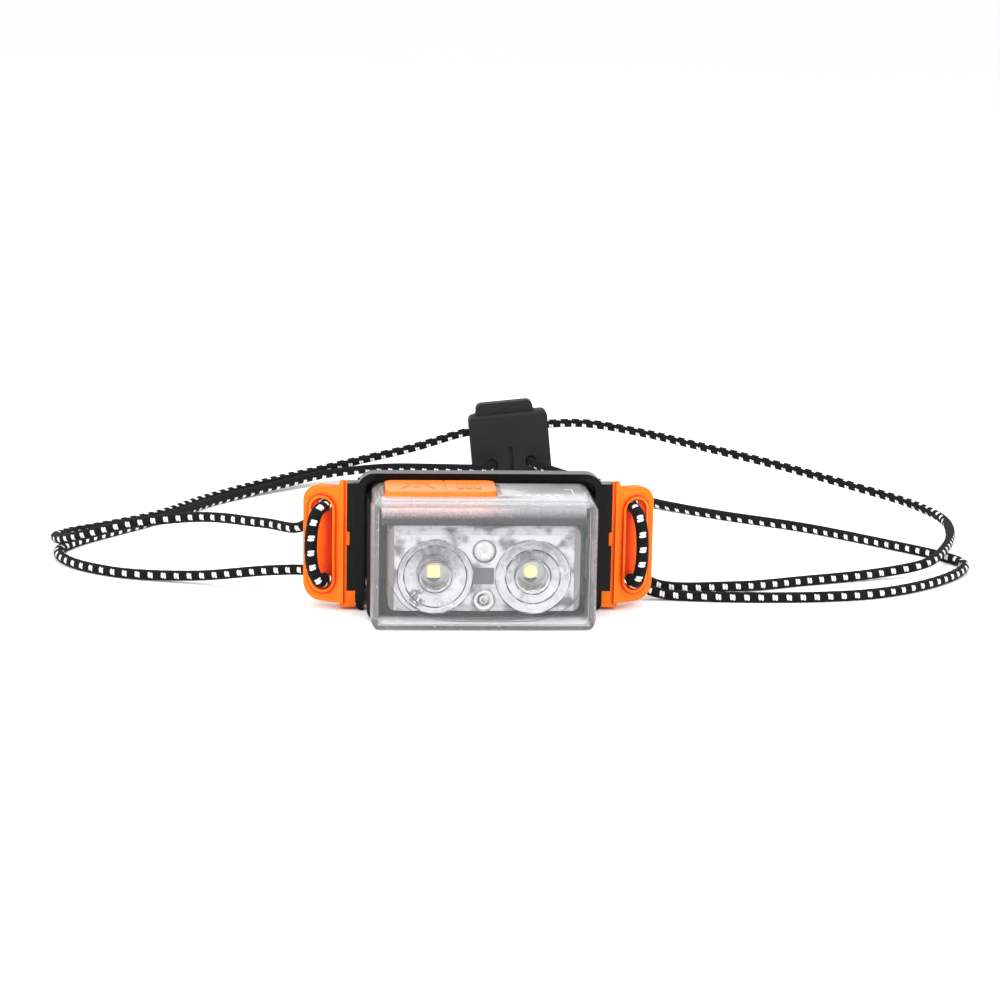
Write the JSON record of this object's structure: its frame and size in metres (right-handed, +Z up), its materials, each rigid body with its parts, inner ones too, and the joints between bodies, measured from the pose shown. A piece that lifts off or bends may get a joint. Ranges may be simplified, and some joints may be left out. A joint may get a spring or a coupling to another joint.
{
  "type": "headlamp",
  "caption": "Compact headlamp: clear-fronted lamp tilting in a black frame on an orange forehead bracket, with an elastic cord loop and a rear plate.",
  "frame": {"origin": "middle of the lamp's and bracket's box, at the level of the surface that it stands on", "axes": "+X to the right seen from the front, +Y from the lenses to the forehead pad, +Z up"},
  "size_m": [0.2251, 0.1802, 0.031],
  "materials": {
    "orange_plastic": "fine matte",
    "black_plastic": "fine matte",
    "housing_plastic": "satin",
    "clear_shell": "clear, walls lightly frosted",
    "lens": "clear, polished",
    "reflector": "silvery",
    "sensor_dark": "dark, smooth",
    "led": "yellow phosphor",
    "white_board": "white solder mask",
    "board": "green solder mask",
    "dark_board": "black solder mask",
    "battery_foil": "foil",
    "steel": "plain",
    "rubber": "matte",
    "foam": "soft matte",
    "cord_braid": "black braid with white dashes",
    "light_guide": "milky"
  },
  "bodies": {
    "bracket": {"bracket": "orange_plastic", "frame": "black_plastic", "forehead_pad": "foam", "rear_plate": "black_plastic", "cord_knots": "cord_braid", "left_lower_cord": "cord_braid", "left_ear_cord": "cord_braid", "left_upper_cord": "cord_braid", "right_upper_cord": "cord_braid", "right_ear_cord": "cord_braid", "right_lower_cord": "cord_braid"},
    "lamp": {"rear_housing": "housing_plastic", "front_shell": "clear_shell", "housing_seal": "rubber", "reflector_tray": "reflector", "spot_lens": "lens", "flood_lens": "lens", "upper_lens": "light_guide", "lower_lens": "lens", "sensor_window": "sensor_dark", "led_board": "white_board", "spot_led": "led", "flood_led": "led", "small_leds": "led", "light_sensor": "sensor_dark", "board_spacers": "steel", "board_screws": "steel", "main_board": "board", "battery_cell": "battery_foil", "battery_tape": "foam", "usb_socket": "steel", "key_board": "dark_board", "tact_switches": "housing_plastic", "gauge_light_pipe": "light_guide", "gauge_leds": "light_guide", "tilt_pins": "steel", "friction_washers": "steel"},
    "left_key": {"left_key": "orange_plastic"},
    "right_key": {"right_key": "orange_plastic"},
    "port_cover": {"port_cover": "rubber"}
  },
  "joints": [
    {"name": "lamp_tilt", "type": "hinge", "parent": "bracket", "child": "lamp", "pos_m": [0, 0.0071, 0.0032], "axis": [1, 0, 0], "range_deg": [0, 60]},
    {"name": "left_key_press", "type": "slide", "parent": "lamp", "child": "left_key", "axis": [0, 0, -1], "range_m": [0, 0.0004], "stiffness_N_per_m": 1500},
    {"name": "right_key_press", "type": "slide", "parent": "lamp", "child": "right_key", "axis": [0, 0, -1], "range_m": [0, 0.0004], "stiffness_N_per_m": 1500},
    {"name": "port_cover_swing", "type": "hinge", "parent": "lamp", "child": "port_cover", "pos_m": [0.0251, -0.00185, 0.0132], "axis": [0, 0, -1], "range_deg": [0, 100]}
  ]
}
